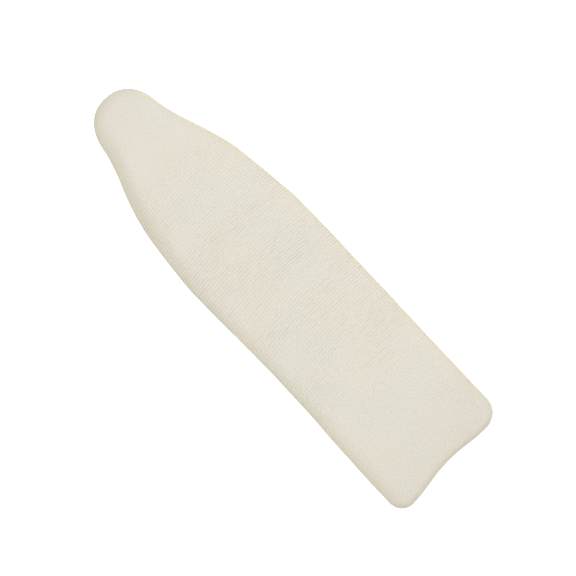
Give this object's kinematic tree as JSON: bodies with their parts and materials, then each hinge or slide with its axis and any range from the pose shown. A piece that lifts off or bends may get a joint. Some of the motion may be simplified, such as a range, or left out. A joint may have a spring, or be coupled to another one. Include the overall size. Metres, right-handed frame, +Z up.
{
  "type": "folding sleeve ironing board",
  "caption": "Folding sleeve board: a padded, cotton-covered nose board on two pairs of leaning steel arms over a wooden base, locked by a hand knob.",
  "frame": {"origin": "centre of the bounding box at the underside of the four feet", "axes": "+X towards the nose, +Y to the left, +Z up; both arm pairs swing about axes parallel to Y"},
  "size_m": [0.508, 0.145, 0.1463],
  "materials": {
    "cotton": "matte undyed cotton with fine crosswise ribs",
    "felt": "matte wool felt",
    "elastic": "matte woven elastic",
    "wood": "satin clear-lacquered beech plywood",
    "steel": "bright zinc-plated",
    "rubber": "matte black",
    "nylon": "natural white nylon",
    "plastic": "satin black moulded plastic",
    "brass": "plain turned brass"
  },
  "bodies": {
    "base": {"base_board": "wood", "base_channel": "steel", "channel_screw_1": "steel", "channel_screw_2": "steel", "channel_screw_3": "steel", "channel_screw_4": "steel", "channel_screw_5": "steel", "channel_screw_6": "steel", "rear_lower_pivot": "steel", "clamp_bolt": "steel", "clamp_washer": "steel", "front_lower_washer_left": "nylon", "front_lower_washer_right": "nylon", "rear_lower_washer_left": "nylon", "rear_lower_washer_right": "nylon", "stop_rod_front": "steel", "stop_rod_rear": "steel", "stop_sleeve_front": "rubber", "stop_sleeve_rear": "rubber", "fold_buffer_front": "rubber", "fold_buffer_rear": "rubber", "foot_front_left": "rubber", "foot_front_right": "rubber", "foot_rear_left": "rubber", "foot_rear_right": "rubber", "foot_screw_front_left": "steel", "foot_screw_front_right": "steel", "foot_screw_rear_left": "steel", "foot_screw_rear_right": "steel"},
    "front_arm": {"front_arm_left": "steel", "front_arm_right": "steel", "front_tie_rod": "steel"},
    "rear_arm": {"rear_arm_left": "steel", "rear_arm_right": "steel", "rear_tie_rod": "steel"},
    "deck": {"cover": "cotton", "felt_pad": "felt", "hem_elastic": "elastic", "deck_board": "wood", "upper_bracket_front": "steel", "upper_bracket_rear": "steel", "bracket_screw_front_1": "steel", "bracket_screw_front_2": "steel", "bracket_screw_front_3": "steel", "bracket_screw_front_4": "steel", "bracket_screw_rear_1": "steel", "bracket_screw_rear_2": "steel", "bracket_screw_rear_3": "steel", "bracket_screw_rear_4": "steel", "front_upper_pivot": "steel", "rear_upper_pivot": "steel", "front_upper_washer_left": "nylon", "front_upper_washer_right": "nylon", "rear_upper_washer_left": "nylon", "rear_upper_washer_right": "nylon"},
    "knob": {"clamp_knob": "plastic", "knob_insert": "brass"}
  },
  "joints": [
    {"name": "front_arm_fold", "type": "hinge", "parent": "base", "child": "front_arm", "pos_m": [-0.02533, 0, 0.0376], "axis": [0, 1, 0], "range_deg": [0, 105]},
    {"name": "rear_arm_fold", "type": "hinge", "parent": "base", "child": "rear_arm", "pos_m": [-0.15533, 0, 0.0376], "axis": [0, 1, 0], "range_deg": [0, 105]},
    {"name": "deck_level", "type": "hinge", "parent": "front_arm", "child": "deck", "pos_m": [-0.045, 0, 0.11101], "axis": [0, 1, 0], "range_deg": [-105, 0]},
    {"name": "knob_turn", "type": "hinge", "parent": "base", "child": "knob", "pos_m": [-0.02533, 0.0338, 0.0376], "axis": [0, 1, 0], "range_deg": [0, 360]}
  ],
  "couplings": [
    {"joint": "rear_arm_fold", "follows": "front_arm_fold", "ratio": 1},
    {"joint": "deck_level", "follows": "front_arm_fold", "ratio": -1}
  ]
}
